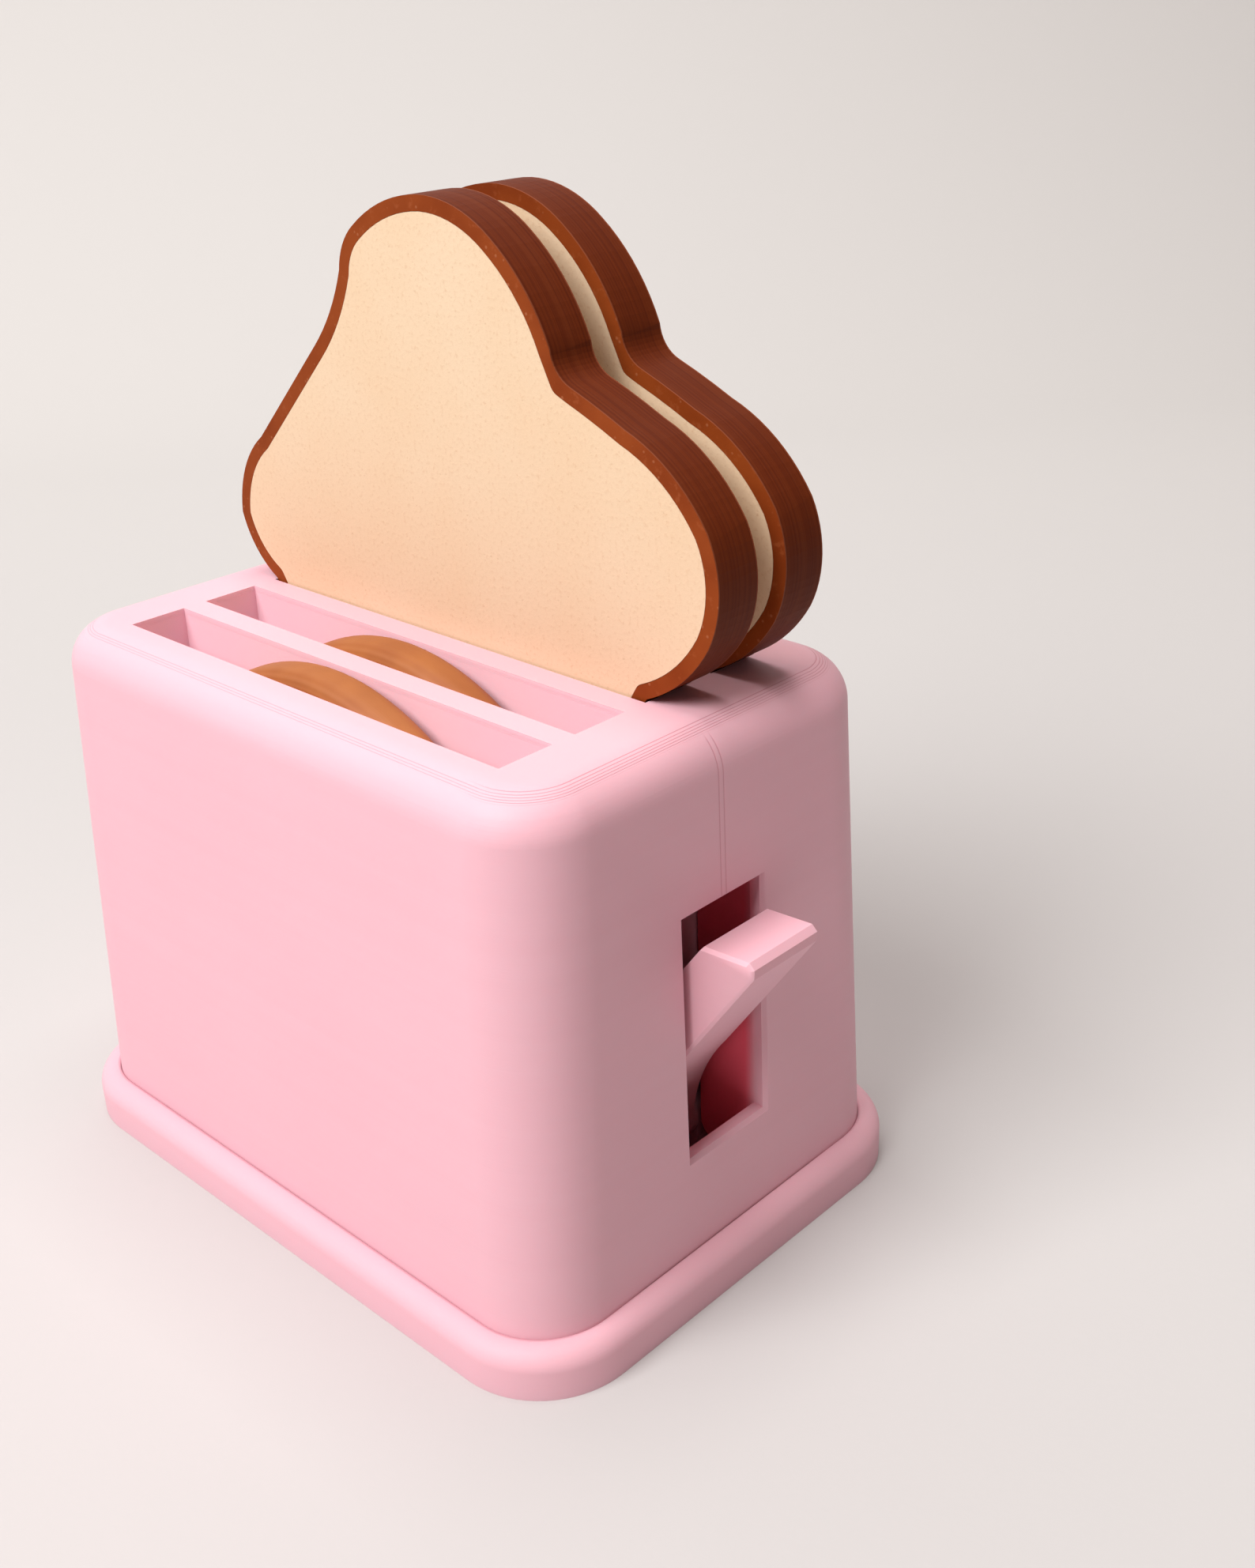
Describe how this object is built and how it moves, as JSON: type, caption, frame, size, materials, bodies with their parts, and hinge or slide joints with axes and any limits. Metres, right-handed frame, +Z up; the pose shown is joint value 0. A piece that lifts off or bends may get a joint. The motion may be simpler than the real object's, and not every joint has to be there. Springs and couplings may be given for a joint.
{
  "type": "toy toaster",
  "caption": "Pretend-play toaster with a rounded leaning shell, parallel bread slots, a press-down side lever that lifts the food, toast slices and round waffles.",
  "frame": {"origin": "middle of the base's underside, on the ground", "axes": "+X along the slots towards the lever, +Y from the waffle slots towards the toast slots, +Z up"},
  "size_m": [0.129, 0.0878, 0.1542],
  "materials": {
    "pink_plastic": "fine horizontal layer lines, matte",
    "crust_brown": "layer lines along the outline, satin",
    "crumb_cream": "fine grain, matte",
    "waffle_tan": "fine layer lines, matte",
    "steel": "plain bright steel"
  },
  "bodies": {
    "toaster_body": {"housing": "pink_plastic", "slot_rack": "pink_plastic", "base": "pink_plastic", "base_screws": "steel", "bracket_screws": "steel", "rack_screws": "steel", "pivot_bracket": "pink_plastic", "pivot_pin": "steel", "pin_clip": "steel", "guide_posts": "steel"},
    "lever_body": {"lever": "pink_plastic"},
    "tray_body": {"lift_tray": "pink_plastic", "toast_risers": "pink_plastic"},
    "toast_1_body": {"toast_1_crust": "crust_brown", "toast_1_crumb": "crumb_cream"},
    "toast_2_body": {"toast_2_crust": "crust_brown", "toast_2_crumb": "crumb_cream"},
    "waffle_1_body": {"waffle_1": "waffle_tan"},
    "waffle_2_body": {"waffle_2": "waffle_tan"}
  },
  "joints": [
    {"name": "tray_lift", "type": "slide", "parent": "toaster_body", "child": "tray_body", "axis": [0, 0, 1], "range_m": [0, 0.0212]},
    {"name": "lever_hinge", "type": "hinge", "parent": "toaster_body", "child": "lever_body", "pos_m": [0.0394, 0, 0.016], "axis": [0, 1, 0], "range_deg": [0, 31.24]},
    {"name": "toast_1_lift_out", "type": "slide", "parent": "tray_body", "child": "toast_1_body", "axis": [0, 0, 1], "range_m": [0, 0.05]},
    {"name": "toast_2_lift_out", "type": "slide", "parent": "tray_body", "child": "toast_2_body", "axis": [0, 0, 1], "range_m": [0, 0.05]},
    {"name": "waffle_1_lift_out", "type": "slide", "parent": "tray_body", "child": "waffle_1_body", "axis": [0, 0, 1], "range_m": [0, 0.085]},
    {"name": "waffle_2_lift_out", "type": "slide", "parent": "tray_body", "child": "waffle_2_body", "axis": [0, 0, 1], "range_m": [0, 0.085]}
  ],
  "couplings": [
    {"joint": "lever_hinge", "follows": "tray_lift", "rad_per_m": 25.72}
  ]
}
